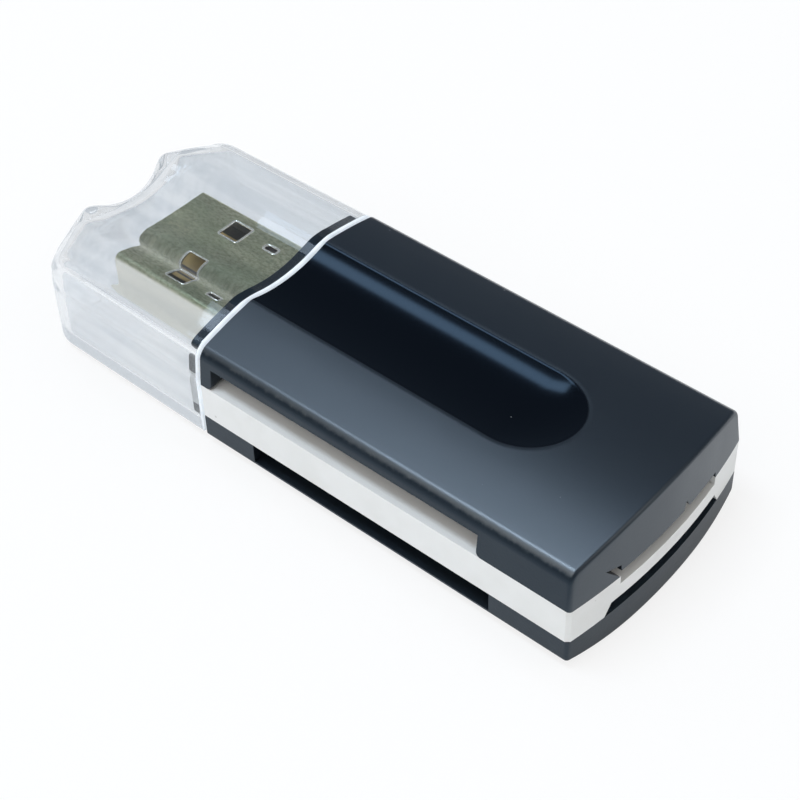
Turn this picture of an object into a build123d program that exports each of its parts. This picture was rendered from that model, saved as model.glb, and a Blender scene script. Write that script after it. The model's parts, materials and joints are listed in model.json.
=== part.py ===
from build123d import *
import math
import os

os.makedirs("parts", exist_ok=True)

# Card reader with a clear cap over its plug. Millimetres, X along the reader with the cap at -X,
# Z up, the belly resting on Z = 0. Every size below is written once and reused for the fits.

# Outside of the closed reader
body_width = 23.6
body_length = 39.25
rear_bulge = 1.25
cap_length = 21.2
edge_low_z = 0.75
frame_low_z = 3.27
frame_high_z = 7.01
edge_top_z = 10.65
crown_rise = 1.58
draft = 0.4
land_half = 4.0
edge_round = 0.8
inner_round = 0.3
rear_bevel = 0.3

# Polished trough along the roof
trough_half = 4.8
trough_depth = 0.83
trough_length = 31.2

# Walls and fits
wall = 1.2
frame_wall = 1.5
deck = 1.0
cap_wall = 1.1
cap_play = 0.15
collar_length = 2.0
collar_wall = 0.9
front_wall = 1.2

# Cap end
end_corner = 4.2
end_shoulder = 3.5
end_belly = 1.2
trough_turn = 2.8
cap_lift = 0.05
cap_taper = 0.3
rim_chamfer = 0.4

# Card mouths: side ones by their gaps to the joint and to the rear, rear ones about the middle plane
upper_mouth = (1.22, 9.15)
upper_mouth_height = 2.25
mouth_round = 0.5
lower_mouth = (5.75, 7.8)
lower_mouth_height = 2.07
rear_upper_mouth = (-6.3, 6.9)
rear_upper_rise = 0.56
rear_upper_sink = 0.9
rear_lower_half = 7.2
rear_lower_flare = 0.7
rear_lower_height = 1.25
notch_width = 1.6
notch_height = 1.1
notch_lap = 0.1
small_notch_width = 0.6
small_notch_height = 1.1
small_notch_y = 2.3

# Plug
plug_width = 12.0
plug_height = 4.5
plug_length = 18.6
plug_reach = 16.2
plug_low_z = 3.91
plug_sheet = 0.3
plug_round = 0.6
window = (2.3, 2.6)
window_setback = 5.2
window_y = 3.25
lance = (1.5, 0.9)
lance_setback = 9.8
lance_y = 3.5
tongue_thickness = 1.9
tongue_setback = 0.9
block_setback = 9.2
contact_sheet = 0.2
contact_pitches = (-3.5, -1.0, 1.0, 3.5)
contact_width = 1.1
contact_setback = 1.0
contact_foot = (0.8, 2.0)
leg_length = 1.9
leg_rise = 0.6
solder_room = 2.95

# Board and what is on it, places as shares of the board's length and half width
board_thickness = 1.0
board_low_z = 4.75
board_play = 0.25
board_rear_gap = 3.2
board_front_gap = 0.3
hole_play = 0.05
chip_size = (10.2, 5.3, 1.0)
chip_ratio = (0.324, -0.2)
chip_standoff = 0.1
lead_count = 14
lead_pitch = 0.65
lead_width = 0.3
lead_sheet = 0.15
lead_reach = 1.0
crystal_size = (2.5, 3.2, 0.8)
crystal_ratio = (0.545, -0.34)
crystal_round = 0.4
capacitor_size = (1.25, 2.0, 0.9)
capacitor_ratios = ((0.12, -0.3), (0.12, 0.1))
resistor_size = (1.6, 0.8, 0.45)
resistor_ratios = ((0.543, 0.12), (0.543, 0.28))

# Ribs and openings inside the housing: gaps to the joint, the rear and the sides; the floor's window
# by its margins to the capacitors and to the upper carrier, then by its gaps to the two sides
rib = 0.8
overcut = 1.0
guide_ribs = (4.9, 11.95)
guide_margin = 3.9
card_stop_setback = 0.3
floor_window = (0.475, 0.6, 5.2, 3.2)
well_lap = 0.4
well_margin = 0.3

# Six-sided pegs that close the housing, by their gaps to the sides, the joint and the rear
peg_radius = 0.8
post_radius = 1.5
peg_margin = 3.1
peg_front = 3.4
peg_rear = 5.05
peg_into_cover = 1.4

# Spring contacts of the card mouths: how many, how far apart and strip width
spring_sheet = 0.2
wide_low_count = 9
wide_low_row = (2.5, 0.6)
wide_up_count = 10
wide_up_row = (1.6, 0.6)
small_low_count = 8
small_low_row = (1.1, 0.45)
small_up_count = 11
small_up_row = (0.9, 0.45)

# Plastic carriers that hold the springs: gap to the board's edge, depth, height, end margin. The small
# ones share one place along the board, and the wide ones' middles are shares of its length too.
wide_low_bar = (1.05, 1.6, 1.3, 1.3)
wide_low_ratio = 0.474
wide_up_bar = (1.85, 1.6, 0.85, 0.8)
wide_up_ratio = 0.3605
small_ratio = 0.636
small_depth = 1.4
small_low_bar = (1.25, 0.75)
small_up_bar = (0.95, 0.8)

# Bends of the springs: bend and tip, each as reach from the carrier and height from the board
wide_low_arm = ((2.0, 1.5), (2.6, 1.25))
wide_up_arm = ((2.0, 1.4), (2.6, 1.1))
small_low_arm = ((2.7, 0.75), (3.4, 0.5))
small_up_arm = ((2.7, 0.7), (3.4, 0.4))
tail_length = 1.0
tail_bend = 0.3
spring_step = 0.3

# Derived places
total_length = cap_length + body_length + rear_bulge
joint_x = cap_length - total_length / 2
cap_end_x = joint_x - cap_length
cap_open_x = joint_x - cap_play
rear_x = joint_x + body_length
half_width = body_width / 2
rear_radius = (half_width ** 2 + rear_bulge ** 2) / (2 * rear_bulge)
rear_centre_x = rear_x + rear_bulge - rear_radius
roof_half = half_width - draft
roof_radius = (roof_half ** 2 + crown_rise ** 2) / (2 * crown_rise)
roof_top_z = edge_top_z + crown_rise
ridge_z = roof_top_z - roof_radius + math.sqrt(roof_radius ** 2 - trough_half ** 2)
trough_floor_z = ridge_z - trough_depth
trough_radius = (trough_half ** 2 + trough_depth ** 2) / (2 * trough_depth)
trough_axis_z = trough_floor_z + trough_radius
trough_tip_rise = roof_top_z - trough_floor_z
trough_tip_reach = math.sqrt(2 * trough_radius * trough_tip_rise - trough_tip_rise ** 2)
trough_end_x = joint_x + trough_length - trough_tip_reach
collar_inset = cap_wall + cap_play
board_high_z = board_low_z + board_thickness
board_front_x = joint_x - plug_reach + plug_length + board_front_gap
board_rear_x = rear_x - board_rear_gap
board_half = half_width - frame_wall - board_play
plug_tip_x = joint_x - plug_reach
plug_rear_x = plug_tip_x + plug_length
plug_mid_z = plug_low_z + plug_height / 2
deck_low_z = frame_high_z - deck
guide_half = half_width - guide_margin
guide_x = (joint_x + guide_ribs[0], rear_x - guide_ribs[1])
board_length = board_rear_x - board_front_x
small_far_x = board_front_x + small_ratio * board_length
small_near_x = small_far_x + small_depth
well_front_x = small_far_x - tail_length - well_margin
wide_low_x = board_front_x + wide_low_ratio * board_length
wide_up_x = board_front_x + wide_up_ratio * board_length
capacitor_x = board_front_x + capacitor_ratios[0][0] * board_length
wide_up_reach = (wide_up_count - 1) * wide_up_row[0] / 2 + wide_up_bar[3]
peg_y = half_width - peg_margin
peg_x = (joint_x + peg_front, rear_x - peg_rear)
big = 4 * total_length


def span(x0, x1, y0, y1, z0, z1):
    """Box between two corners."""
    return Pos((x0 + x1) / 2, (y0 + y1) / 2, (z0 + z1) / 2) * Box(x1 - x0, y1 - y0, z1 - z0)


def section(inset, rounding, narrow=0.0, lower=0.0, lift=0.0):
    """Cross-section of the closed reader, drawn in by a wall and, near the cap's end, shrunk."""
    half = half_width - inset - narrow
    low = edge_low_z + inset + lift
    top = edge_top_z - inset - lower
    land = inset + lift
    knee = frame_high_z - lower
    brow = half - draft * (top - knee) / (edge_top_z - frame_high_z)
    lines = [
        ThreePointArc((brow, top), (0, top + crown_rise), (-brow, top)),
        Line((-brow, top), (-half, knee)),
        Line((-half, knee), (-half, low)),
        TangentArc((-land_half, land), (-half, low), tangent=(-1, 0)),
        Line((-land_half, land), (land_half, land)),
        TangentArc((land_half, land), (half, low), tangent=(1, 0)),
        Line((half, low), (half, knee)),
        Line((half, knee), (brow, top)),
    ]
    face = make_face(lines)
    corners = [v for v in face.vertices() if abs(v.Y - top) < 1e-4 or abs(v.Y - low) < 1e-4]
    return fillet(corners, rounding) if rounding else face


def prism(inset, x0, x1, rounding):
    """Closed-reader section run along X."""
    return extrude(Plane.YZ.offset(x0) * section(inset, rounding), x1 - x0)


def trough(inset):
    """Round-ended groove cut along the roof, grown by a wall thickness."""
    radius = trough_radius + inset
    start_x = cap_end_x - total_length
    lines = [
        Line((start_x, trough_axis_z), (trough_end_x + radius, trough_axis_z)),
        CenterArc((trough_end_x, trough_axis_z), radius, 0, 90),
        Line((trough_end_x, trough_axis_z + radius), (start_x, trough_axis_z + radius)),
        Line((start_x, trough_axis_z + radius), (start_x, trough_axis_z)),
    ]
    profile = Plane.XZ * make_face(lines)
    return revolve(profile, Axis((0, 0, trough_axis_z), (1, 0, 0)), 360)


def rear_drum(inset):
    """Upright drum whose skin is the bulged rear face, drawn in above the frame like the sides."""
    radius = rear_radius - inset
    rise = edge_top_z + 2 * crown_rise - frame_high_z
    lean = draft * rise / (edge_top_z - frame_high_z)
    top_z = frame_high_z + rise
    outline = Polyline((0, -big), (-radius, -big), (-radius, frame_high_z), (lean - radius, top_z),
                       (0, top_z), close=True)
    profile = Plane.XZ * Pos(rear_centre_x, 0) * make_face(outline)
    return revolve(profile, Axis((rear_centre_x, 0, 0), (0, 0, 1)), 360)


def layer(z0, z1):
    """Everything between two heights."""
    return span(-big, big, -big, big, z0, z1)


def strip(plane, points, thickness, width):
    """Bent strip of sheet: a path thickened to its left and given a width."""
    count = len(points)
    left = []
    for i in range(count):
        before = points[max(i - 1, 0)]
        here = points[i]
        after = points[min(i + 1, count - 1)]
        a = Vector(here[0] - before[0], here[1] - before[1]) if i else None
        b = Vector(after[0] - here[0], after[1] - here[1]) if i < count - 1 else None
        a = (a if a else b).normalized()
        b = (b if b else a).normalized()
        normal = Vector(-a.Y - b.Y, a.X + b.X).normalized()
        reach = thickness / max(normal.dot(Vector(-a.Y, a.X)), 0.3)
        left.append((here[0] + normal.X * reach, here[1] + normal.Y * reach))
    outline = Polyline(*points, *reversed(left), close=True)
    return extrude(plane * make_face(outline), width / 2, both=True)


def peg(place, radius, z0, z1):
    """Six-sided post at one of the four places."""
    return Pos(*place, z0) * extrude(RegularPolygon(radius, 6), z1 - z0)


nodes = {}

# Closed housing: outside, collar under the cap and the hollow inside
outside = prism(0, joint_x, rear_x + 2 * rear_bulge, edge_round) & rear_drum(0)
rear_edges = [e for e in outside.edges() if e.center().X > rear_x - rear_bulge]
rear_rim = [e for e in rear_edges if not frame_low_z < e.center().Z < edge_top_z - edge_round]
outside = chamfer(rear_rim, rear_bevel)
collar = prism(collar_inset, joint_x - collar_length, joint_x + front_wall, inner_round)
outside = (outside + collar) - trough(0)
outside = outside - (span(joint_x - 2 * collar_length, joint_x, -big, big, 0, big) & trough(collar_inset))
inner_front_x = joint_x + front_wall
cover_hollow = prism(wall, inner_front_x, rear_x + 2 * rear_bulge, inner_round) & rear_drum(wall)
cover_hollow = cover_hollow - trough(wall)
collar_bore = collar_inset + collar_wall
collar_hollow = prism(collar_bore, joint_x - collar_length + collar_wall, inner_front_x, 0)
collar_hollow = collar_hollow - trough(collar_bore)
cover_hollow = cover_hollow + collar_hollow
frame_hollow = prism(frame_wall, inner_front_x, rear_x + 2 * rear_bulge, 0) & rear_drum(frame_wall)
frame_hollow = frame_hollow + collar_hollow

plug_face = RectangleRounded(plug_width, plug_height, plug_round)
plug_hole = extrude(Plane.YZ.offset(plug_tip_x) * Pos(0, plug_mid_z) * plug_face, plug_length)

pegs = [(x, y) for x in peg_x for y in (-peg_y, peg_y)]

# Top cover: crowned shell, two card mouths, card guides and the four sockets
cover_band = layer(frame_high_z, big)
top_cover = (outside & cover_band) - cover_hollow - plug_hole
mouth_x0 = joint_x + upper_mouth[0]
mouth_x1 = rear_x - upper_mouth[1]
mouth_top_z = frame_high_z + upper_mouth_height
mouth_lines = [
    Line((mouth_x0 - mouth_round, frame_high_z), (mouth_x1 + mouth_round, frame_high_z)),
    CenterArc((mouth_x1 + mouth_round, frame_high_z + mouth_round), mouth_round, 180, 90),
    Line((mouth_x1, frame_high_z + mouth_round), (mouth_x1, mouth_top_z)),
    Line((mouth_x1, mouth_top_z), (mouth_x0, mouth_top_z)),
    Line((mouth_x0, mouth_top_z), (mouth_x0, frame_high_z + mouth_round)),
    CenterArc((mouth_x0 - mouth_round, frame_high_z + mouth_round), mouth_round, 270, 90),
]
mouth = extrude(Plane.XZ.offset(half_width - 2 * wall) * make_face(mouth_lines), 3 * wall)
top_cover = top_cover - mouth
rear_mouth = span(rear_x - 2 * wall, big, rear_upper_mouth[0], rear_upper_mouth[1], frame_high_z - overcut,
                  frame_high_z + rear_upper_rise)
notch_z = frame_high_z + rear_upper_rise
notch_y = rear_upper_mouth[0]
notch = Polyline((notch_y, frame_high_z - notch_lap), (notch_y + notch_lap, notch_z),
                 (notch_y + notch_lap, notch_z + notch_lap),
                 (notch_y - notch_width, notch_z + notch_height), close=True)
small_notch = Polyline((small_notch_y - small_notch_width / 2, frame_high_z),
                       (small_notch_y + small_notch_width / 2, frame_high_z),
                       (small_notch_y, notch_z + small_notch_height), close=True)
notch_cut = extrude(Plane.YZ.offset(rear_x - 2 * wall) * make_face(notch), big)
small_cut = extrude(Plane.YZ.offset(rear_x - 2 * wall) * make_face(small_notch), big)
top_cover = top_cover - rear_mouth - notch_cut - small_cut
roof_hollow = cover_hollow & cover_band
boss_block = Part()
for place in pegs:
    boss_block += peg(place, post_radius, frame_high_z, big)
for x in guide_x:
    boss_block += span(x, x + rib, -guide_half, guide_half, frame_high_z, big)
for y in (rear_upper_mouth[0] - rib, rear_upper_mouth[1]):
    boss_block += span(guide_x[1] + 2 * rib, rear_x - wall, y, y + rib, notch_z, big)
top_cover = top_cover + (boss_block & roof_hollow)
for place in pegs:
    top_cover = top_cover - peg(place, peg_radius, frame_high_z, frame_high_z + peg_into_cover)
nodes["top_cover"] = top_cover

# Middle frame: white ring with the floors of the upper mouths and standoffs on the board
frame = (outside & layer(frame_low_z, frame_high_z)) - frame_hollow
frame_floor = (frame_hollow & layer(deck_low_z, frame_high_z)) & span(inner_front_x, big, -big, big, 0, big)
front_margin, rear_margin, near_gap, far_gap = floor_window
floor_x0 = capacitor_x - capacitor_size[0] / 2 - front_margin
floor_x1 = wide_up_x + wide_up_reach + rear_margin
floor_opening = span(floor_x0, floor_x1, 0, half_width - far_gap, 0, big)
floor_rear = span(floor_x0, well_front_x + well_lap, near_gap - half_width, overcut, 0, big)
floor_opening = floor_opening + floor_rear
well_y0, well_y1 = rear_upper_mouth
rear_pocket = span(well_front_x, big, well_y0, well_y1, frame_high_z - rear_upper_sink, big)
rear_well = span(well_front_x, rear_x - frame_wall, well_y0, well_y1, 0, big)
frame = frame + (frame_floor - floor_opening - rear_well)
for place in pegs:
    frame = frame + peg(place, post_radius, board_high_z, frame_high_z)
frame = frame - rear_pocket
low_z = frame_low_z - overcut
high_z = frame_low_z + rear_lower_height
wide = rear_lower_half + rear_lower_flare
slot = Polyline((-wide, low_z), (wide, low_z), (wide, frame_low_z), (rear_lower_half, high_z),
                (-rear_lower_half, high_z), (-wide, frame_low_z), close=True)
frame = frame - extrude(Plane.YZ.offset(rear_x - 2 * frame_wall) * make_face(slot), big)
plug_path = plug_hole + span(plug_tip_x, plug_rear_x, -plug_width / 2, plug_width / 2, plug_mid_z, big)
tail_x1 = plug_rear_x + solder_room
tail_room = span(plug_rear_x - plug_sheet, tail_x1, -plug_width / 2, plug_width / 2, board_low_z, big)
frame = frame - plug_path - tail_room
for place in pegs:
    frame = frame - peg(place, peg_radius + hole_play, 0, big)
nodes["middle_frame"] = frame

# Bottom cover: belly shell, lower card mouth, card guides, posts and pegs
belly_hollow = cover_hollow & layer(-big, frame_low_z)
bottom = (outside & layer(-big, frame_low_z)) - cover_hollow
card_low_z = frame_low_z - lower_mouth_height
card_x0 = joint_x + lower_mouth[0]
card_x1 = rear_x - lower_mouth[1]
card_stop_y = peg_y - card_stop_setback
card_path = span(card_x0, card_x1, -half_width - overcut, card_stop_y, card_low_z, frame_low_z + overcut)
card_fence = span(card_x0, card_x1, card_stop_y, card_stop_y + rib, 0, frame_low_z)
for x in (card_x0 - rib, card_x1):
    card_fence = card_fence + span(x, x + rib, wall - half_width, card_stop_y + rib, 0, frame_low_z)
bottom = bottom + (card_fence & belly_hollow)
bottom = bottom - card_path
for place in pegs:
    root_z = edge_low_z + wall / 2
    bottom = bottom + peg(place, post_radius, root_z, board_low_z)
    bottom = bottom + peg(place, peg_radius, root_z, frame_high_z + peg_into_cover)
nodes["bottom_cover"] = bottom


# Clear cap: the body's outside carried on, rounded over at its end, the trough run over the end too
def rounding_drop(distance, radius):
    """Fall of a quarter-round edge at a distance from its outer end."""
    inside = max(radius - distance, 0.0)
    return radius - math.sqrt(radius ** 2 - inside ** 2)


def cap_outside(bevel):
    """Cap outline: sections lofted over the rounded end, then straight to the bevelled rim."""
    reach = max(end_corner, end_shoulder)
    faces = []
    for share in (0.0, 0.06, 0.2, 0.45, 0.72, 1.0):
        s = share * reach
        narrow = cap_taper + rounding_drop(s, end_corner)
        lift = cap_lift + rounding_drop(s, end_belly)
        face = section(0, edge_round, narrow, rounding_drop(s, end_shoulder), lift)
        faces.append(Plane.YZ.offset(cap_end_x + s) * face)
    shoulder_face = Plane.YZ.offset(cap_open_x - bevel) * section(0, edge_round, lift=cap_lift)
    rim_face = Plane.YZ.offset(cap_open_x) * section(bevel, edge_round - bevel, lift=cap_lift)
    solid = loft(faces) + loft([faces[-1], shoulder_face], ruled=True)
    solid = solid + loft([shoulder_face, rim_face], ruled=True)
    flare = Rot(0, 90, 0) * Cone(trough_radius, trough_radius + 2 * bevel, 2 * bevel)
    solid = solid - Pos(cap_open_x, 0, trough_axis_z) * flare
    return solid - trough(0) - end_groove()


def cap_room(inset):
    """Cavity of the cap: the section drawn in by the wall, rounded at the end in plan and in profile."""
    end_x = cap_end_x + trough_depth + inset
    corner = end_corner - inset
    shoulder = end_shoulder - inset
    high_z = roof_top_z - inset
    length = cap_open_x + corner - end_x
    plan = RectangleRounded(length, body_width - 2 * inset, corner)
    plan = extrude(Pos(end_x + length / 2, 0) * plan, big, both=True)
    lines = [
        Line((end_x, -big), (end_x, high_z - shoulder)),
        CenterArc((end_x + shoulder, high_z - shoulder), shoulder, 90, 90),
        Line((end_x + shoulder, high_z), (cap_open_x, high_z)),
        Line((cap_open_x, high_z), (cap_open_x, -big)),
        Line((cap_open_x, -big), (end_x, -big)),
    ]
    profile = extrude(Plane.XZ * make_face(lines), big, both=True)
    room = extrude(Plane.YZ.offset(end_x) * section(inset, inner_round, lift=cap_lift), cap_open_x - end_x)
    return (room & plan & profile) - trough(inset)


def end_groove():
    """The trough carried round the cap's end: an elbow, then straight down."""
    turn_x = cap_end_x + trough_depth + trough_turn
    turn_z = trough_floor_z - trough_turn
    arm = trough_turn + trough_radius
    ring = Plane.YZ.offset(turn_x) * Pos(0, turn_z + arm) * Circle(trough_radius)
    elbow = revolve(ring, Axis((turn_x, 0, turn_z), (0, 1, 0)), -90)
    down = Pos(turn_x - arm, 0, turn_z - big / 2) * Rot(0, 0, 180) * Cylinder(trough_radius, big)
    return elbow + down


clear_cap = cap_outside(rim_chamfer) - cap_room(cap_wall)
nodes["clear_cap"] = clear_cap

# Plug: sheet shell with latch windows and two legs, plastic tongue and block, four flat contacts
bore_width = plug_width - 2 * plug_sheet
bore_face = RectangleRounded(bore_width, plug_height - 2 * plug_sheet, plug_round - plug_sheet)
plug_bore = extrude(Plane.YZ.offset(plug_tip_x) * Pos(0, plug_mid_z) * bore_face, plug_length)
plug_shell = plug_hole - plug_bore
window_x = plug_tip_x + window_setback
lance_x = plug_tip_x + lance_setback
for side in (-1, 1):
    latch = Pos(window_x + window[0] / 2, side * window_y, plug_mid_z) * Box(*window, 2 * plug_height)
    hole = Pos(lance_x + lance[0] / 2, side * lance_y, plug_low_z + plug_height) * Box(*lance, plug_height)
    plug_shell = plug_shell - latch - hole
leg_faces = [(bore_width / 2, plug_width / 2), (-plug_width / 2, -bore_width / 2)]
leg_low_z = board_low_z - leg_rise / 3
leg_end_x = plug_rear_x + leg_length
leg_high_z = board_high_z + leg_rise
for y0, y1 in leg_faces:
    plug_shell = plug_shell + span(plug_rear_x - plug_sheet, leg_end_x, y0, y1, leg_low_z, leg_high_z)
nodes["usb_shell"] = plug_shell

tongue_x = plug_tip_x + tongue_setback
tongue_low_z = plug_low_z + plug_sheet
tongue_top_z = tongue_low_z + tongue_thickness
insulator = plug_bore & span(plug_tip_x + block_setback, plug_rear_x, -big, big, 0, big)
insulator = insulator + (plug_bore & span(tongue_x, plug_rear_x, -big, big, 0, tongue_top_z))
contact_low_z = tongue_top_z - contact_sheet / 2
foot_x0 = plug_rear_x + contact_foot[0]
foot_x1 = plug_rear_x + contact_foot[1]
contact_path = [(tongue_x + contact_setback, contact_low_z), (board_front_x, contact_low_z),
                (foot_x0, board_high_z), (foot_x1, board_high_z)]
for i, y in enumerate(contact_pitches):
    contact = strip(Plane.XZ.offset(-y), contact_path, contact_sheet, contact_width)
    insulator = insulator - contact
    nodes["usb_contact_" + str(i + 1)] = contact
nodes["usb_insulator"] = insulator

# Circuit board on the four posts, notched for the plug's legs
board = span(board_front_x, board_rear_x, -board_half, board_half, board_low_z, board_high_z)
for place in pegs:
    board = board - peg(place, peg_radius + hole_play, 0, big)
for y0, y1 in leg_faces:
    leg_slot = span(board_front_x - overcut, leg_end_x + hole_play, y0 - hole_play, y1 + hole_play, 0, big)
    board = board - leg_slot
nodes["circuit_board"] = board

# Reader chip: moulded body on two rows of bent leads
chip_x = board_front_x + chip_ratio[0] * board_length
chip_y = chip_ratio[1] * board_half
chip_low_z = board_high_z + chip_standoff
chip = Pos(chip_x, chip_y, chip_low_z + chip_size[2] / 2) * Box(*chip_size)
chip = chamfer(chip.faces().sort_by(Axis.Z)[-1].edges(), chip_standoff)
lead_mid_z = chip_low_z + chip_size[2] / 2
lead_bend = lead_reach / 3
lead_root = chip_size[1] / 2
lead_path = [(lead_root - lead_bend, lead_mid_z), (lead_root + lead_bend, lead_mid_z),
             (lead_root + 1.5 * lead_bend, board_high_z), (lead_root + lead_reach, board_high_z)]
for i in range(lead_count):
    x = chip_x + (i - (lead_count - 1) / 2) * lead_pitch
    lead = strip(Plane.YZ.offset(x), lead_path, lead_sheet, lead_width)
    chip = chip + Pos(0, chip_y, 0) * lead + Pos(0, chip_y, 0) * mirror(lead, Plane.XZ)
nodes["reader_chip"] = chip


def component(place, size):
    """Small block soldered on the board."""
    x = board_front_x + place[0] * board_length
    y = place[1] * board_half
    return Pos(x, y, board_high_z + size[2] / 2) * Box(*size)


crystal = component(crystal_ratio, crystal_size)
nodes["crystal"] = fillet(crystal.edges().filter_by(Axis.Z), crystal_round)
for i, place in enumerate(capacitor_ratios):
    nodes["capacitor_" + str(i + 1)] = component(place, capacitor_size)
for i, place in enumerate(resistor_ratios):
    nodes["resistor_" + str(i + 1)] = component(place, resistor_size)


# Card contacts: each row of bent springs is pressed into a plastic bar fixed to the board
def spring_row(name, count, row, middle, bar, plane_at, path):
    """Springs of one row as nodes, spread about its middle and cut out of their bar."""
    pitch, width = row
    for i in range(count):
        spring = strip(plane_at(middle + (i - (count - 1) / 2) * pitch), path, spring_sheet, width)
        bar = bar - spring
        nodes[name + "_spring_" + str(i + 1)] = spring
    nodes[name + "_carrier"] = bar


def across(x):
    """Upright plane across the reader."""
    return Plane.YZ.offset(x)


def along(y):
    """Upright plane along the reader."""
    return Plane.XZ.offset(-y)


def half_length(count, row, margin):
    """Half of a row's length with its end margin."""
    return (count - 1) * row[0] / 2 + margin


def bent(near, far, reach, base_z, way):
    """Path of one spring: soldered tail, rise into the bar, straight through, long arm and turned tip."""
    side = 1 if far > near else -1
    arm, tip = reach
    tail = [(far + side * tail_length, base_z), (far + side * tail_bend, base_z)]
    held = [(far, base_z + way * spring_step), (near, base_z + way * spring_step)]
    free = [(near - side * x, base_z + way * z) for x, z in (arm, tip)]
    return tail + held + free


gap, depth, height, margin = wide_low_bar
far = board_half - gap
near = far - depth
reach = half_length(wide_low_count, wide_low_row, margin)
bar = span(wide_low_x - reach, wide_low_x + reach, near, far, board_low_z - height, board_low_z)
path = bent(near, far, wide_low_arm, board_low_z, -1)
spring_row("wide_low", wide_low_count, wide_low_row, wide_low_x, bar, across, path)

gap, depth, height, margin = wide_up_bar
far = board_half - gap
near = far - depth
reach = half_length(wide_up_count, wide_up_row, margin)
bar = span(wide_up_x - reach, wide_up_x + reach, near, far, board_high_z, board_high_z + height)
path = bent(near, far, wide_up_arm, board_high_z + spring_sheet, 1)
spring_row("wide_up", wide_up_count, wide_up_row, wide_up_x, bar, across, path)

height, margin = small_low_bar
reach = half_length(small_low_count, small_low_row, margin)
bar = span(small_far_x, small_near_x, -reach, reach, board_low_z - height, board_low_z)
path = bent(small_near_x, small_far_x, small_low_arm, board_low_z - spring_sheet, -1)
spring_row("small_low", small_low_count, small_low_row, 0, bar, along, path)

height, margin = small_up_bar
reach = half_length(small_up_count, small_up_row, margin)
bar = span(small_far_x, small_near_x, -reach, reach, board_high_z, board_high_z + height)
path = bent(small_near_x, small_far_x, small_up_arm, board_high_z, 1)
spring_row("small_up", small_up_count, small_up_row, 0, bar, along, path)

for name, solid in nodes.items():
    export_step(solid, "parts/" + name + ".step")
    box = solid.bounding_box()
    print(name, len(solid.solids()), round(solid.volume, 1), box.min, box.max)
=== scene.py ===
# %% [markdown]
# # A pocket card reader with a clear cap
# The reader is a small moulded stick: two black shells round a white frame, and a clear cap over
# a metal plug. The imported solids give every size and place. This lesson dresses them: the
# visible mouldings are worked out again as smooth surfaces, and every finish is made of nodes.

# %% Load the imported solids
import json
import math

import bpy
import numpy as np
from mathutils import Matrix, Vector


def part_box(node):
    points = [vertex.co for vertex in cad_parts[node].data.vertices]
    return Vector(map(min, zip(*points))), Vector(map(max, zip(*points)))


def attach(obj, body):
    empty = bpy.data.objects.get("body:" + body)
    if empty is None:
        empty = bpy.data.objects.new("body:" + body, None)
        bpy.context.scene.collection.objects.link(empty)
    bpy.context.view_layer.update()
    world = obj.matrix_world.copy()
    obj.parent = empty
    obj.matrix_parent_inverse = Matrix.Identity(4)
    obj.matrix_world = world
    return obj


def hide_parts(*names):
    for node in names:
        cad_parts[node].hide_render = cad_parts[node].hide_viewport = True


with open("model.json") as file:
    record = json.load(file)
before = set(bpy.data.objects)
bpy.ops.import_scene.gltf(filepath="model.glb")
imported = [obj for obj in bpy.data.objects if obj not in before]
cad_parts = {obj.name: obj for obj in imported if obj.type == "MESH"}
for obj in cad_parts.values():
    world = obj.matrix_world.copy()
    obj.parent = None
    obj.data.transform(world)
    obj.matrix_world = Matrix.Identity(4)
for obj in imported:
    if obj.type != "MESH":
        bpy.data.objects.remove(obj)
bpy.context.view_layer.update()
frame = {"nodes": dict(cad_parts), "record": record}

# %% [markdown]
# ## Sizes
# The sizes are the ones that drive the solids, in millimetres, and are turned into metres only
# when a mesh is made. X runs from the cap to the rear, Z is up, and the belly rests on Z = 0.

# %% Driving sizes
MM = 0.001
HALF_WIDTH = 11.8
CAP_LENGTH, BODY_LENGTH, REAR_BULGE = 21.2, 39.25, 1.25
EDGE_LOW_Z, FRAME_LOW_Z, FRAME_HIGH_Z, EDGE_TOP_Z = 0.75, 3.27, 7.01, 10.65
CROWN_RISE, DRAFT, LAND_HALF = 1.58, 0.4, 4.0
EDGE_ROUND, FOOT_ROUND, INNER_ROUND, REAR_ROUND = 0.8, 0.35, 0.3, 0.32
TROUGH_HALF, TROUGH_DEPTH, TROUGH_LENGTH, TROUGH_TURN = 4.8, 0.83, 31.2, 2.8
CAP_WALL, CAP_PLAY, CAP_TAPER, CAP_LIFT, RIM_BEVEL = 1.1, 0.15, 0.3, 0.05, 0.4
END_CORNER, END_BELLY, END_SHOULDER, END_NARROW = 3.6, 0.6, (1.6, 4.5), 1.0

JOINT_X = CAP_LENGTH - (CAP_LENGTH + BODY_LENGTH + REAR_BULGE) / 2
CAP_END_X, CAP_OPEN_X, REAR_X = JOINT_X - CAP_LENGTH, JOINT_X - CAP_PLAY, JOINT_X + BODY_LENGTH
REAR_RADIUS = (HALF_WIDTH**2 + REAR_BULGE**2) / (2 * REAR_BULGE)
REAR_CENTRE_X = REAR_X + REAR_BULGE - REAR_RADIUS
ROOF_HALF = HALF_WIDTH - DRAFT
ROOF_RADIUS = (ROOF_HALF**2 + CROWN_RISE**2) / (2 * CROWN_RISE)
ROOF_AXIS_Z = EDGE_TOP_Z + CROWN_RISE - ROOF_RADIUS
BELLY_RADIUS = ((HALF_WIDTH - LAND_HALF) ** 2 + EDGE_LOW_Z**2) / (2 * EDGE_LOW_Z)
RIDGE_Z = ROOF_AXIS_Z + math.sqrt(ROOF_RADIUS**2 - TROUGH_HALF**2)
TROUGH_FLOOR_Z = RIDGE_Z - TROUGH_DEPTH
TROUGH_RADIUS = (TROUGH_HALF**2 + TROUGH_DEPTH**2) / (2 * TROUGH_DEPTH)
TROUGH_AXIS_Z = TROUGH_FLOOR_Z + TROUGH_RADIUS
TIP_RISE = EDGE_TOP_Z + CROWN_RISE - TROUGH_FLOOR_Z
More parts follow.
